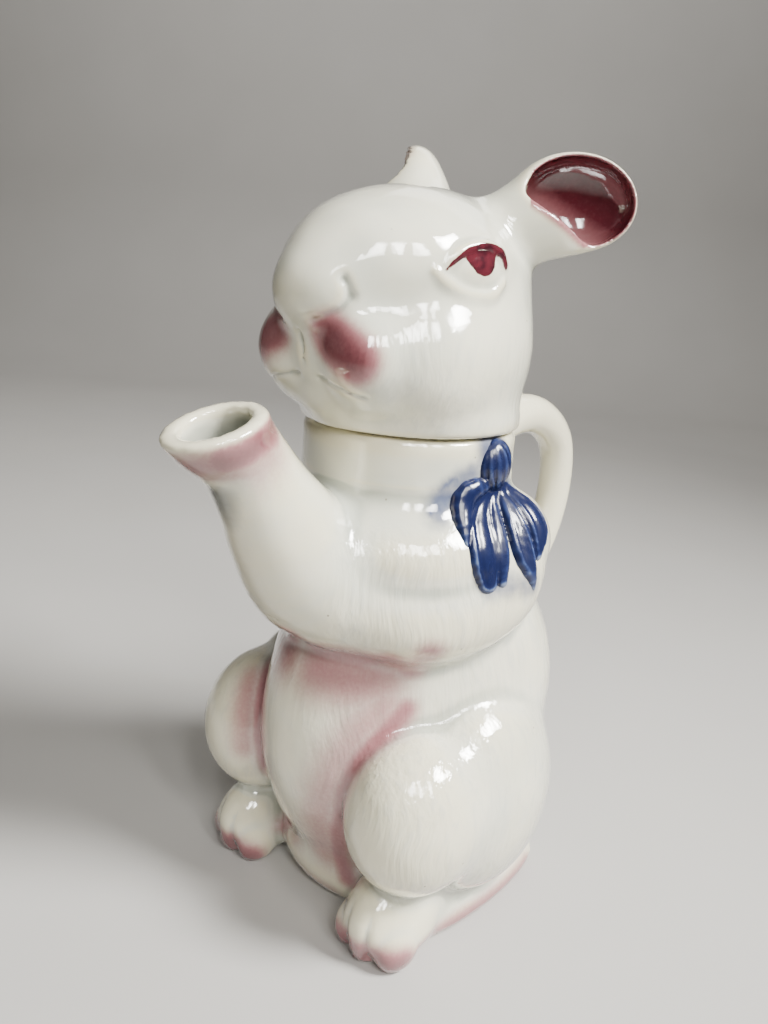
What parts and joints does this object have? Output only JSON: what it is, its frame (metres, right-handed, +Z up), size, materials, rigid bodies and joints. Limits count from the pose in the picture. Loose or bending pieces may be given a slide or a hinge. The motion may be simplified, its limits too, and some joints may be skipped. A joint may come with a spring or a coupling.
{
  "type": "teapot",
  "caption": "Sitting rabbit teapot in glazed ceramic: raised forelegs form the spout, the head lifts off as the lid, loop handle behind, blue bow on the neck.",
  "frame": {"origin": "middle of the flat resting face, under the axis of the neck", "axes": "+Z up along the axis of the neck, -Y the way the rabbit faces and pours, +X the rabbit's own left, where the bow is"},
  "size_m": [0.1196, 0.1859, 0.2482],
  "materials": {
    "cream_glaze": "gloss",
    "foot_glaze": "gloss",
    "rose_glaze": "gloss",
    "ear_glaze": "gloss",
    "bare_clay": "matte",
    "blue_glaze": "gloss"
  },
  "bodies": {
    "pot": {"pot_body": "cream_glaze", "left_haunch": "cream_glaze", "right_haunch": "cream_glaze", "left_hind_foot": "foot_glaze", "right_hind_foot": "foot_glaze", "foreleg_spout": "rose_glaze", "handle": "cream_glaze", "bow_knot": "blue_glaze", "bow_tail": "blue_glaze", "bow_middle_leaf": "blue_glaze", "bow_front_leaf": "blue_glaze", "bow_curl": "blue_glaze", "bow_back_loop": "blue_glaze"},
    "lid": {"lid_head": "cream_glaze", "lid_flange": "bare_clay", "left_ear": "ear_glaze", "right_ear": "ear_glaze"}
  },
  "joints": [
    {"name": "lid_lift", "type": "slide", "parent": "pot", "child": "lid", "axis": [0, 0, 1], "range_m": [0, 0.12]}
  ]
}
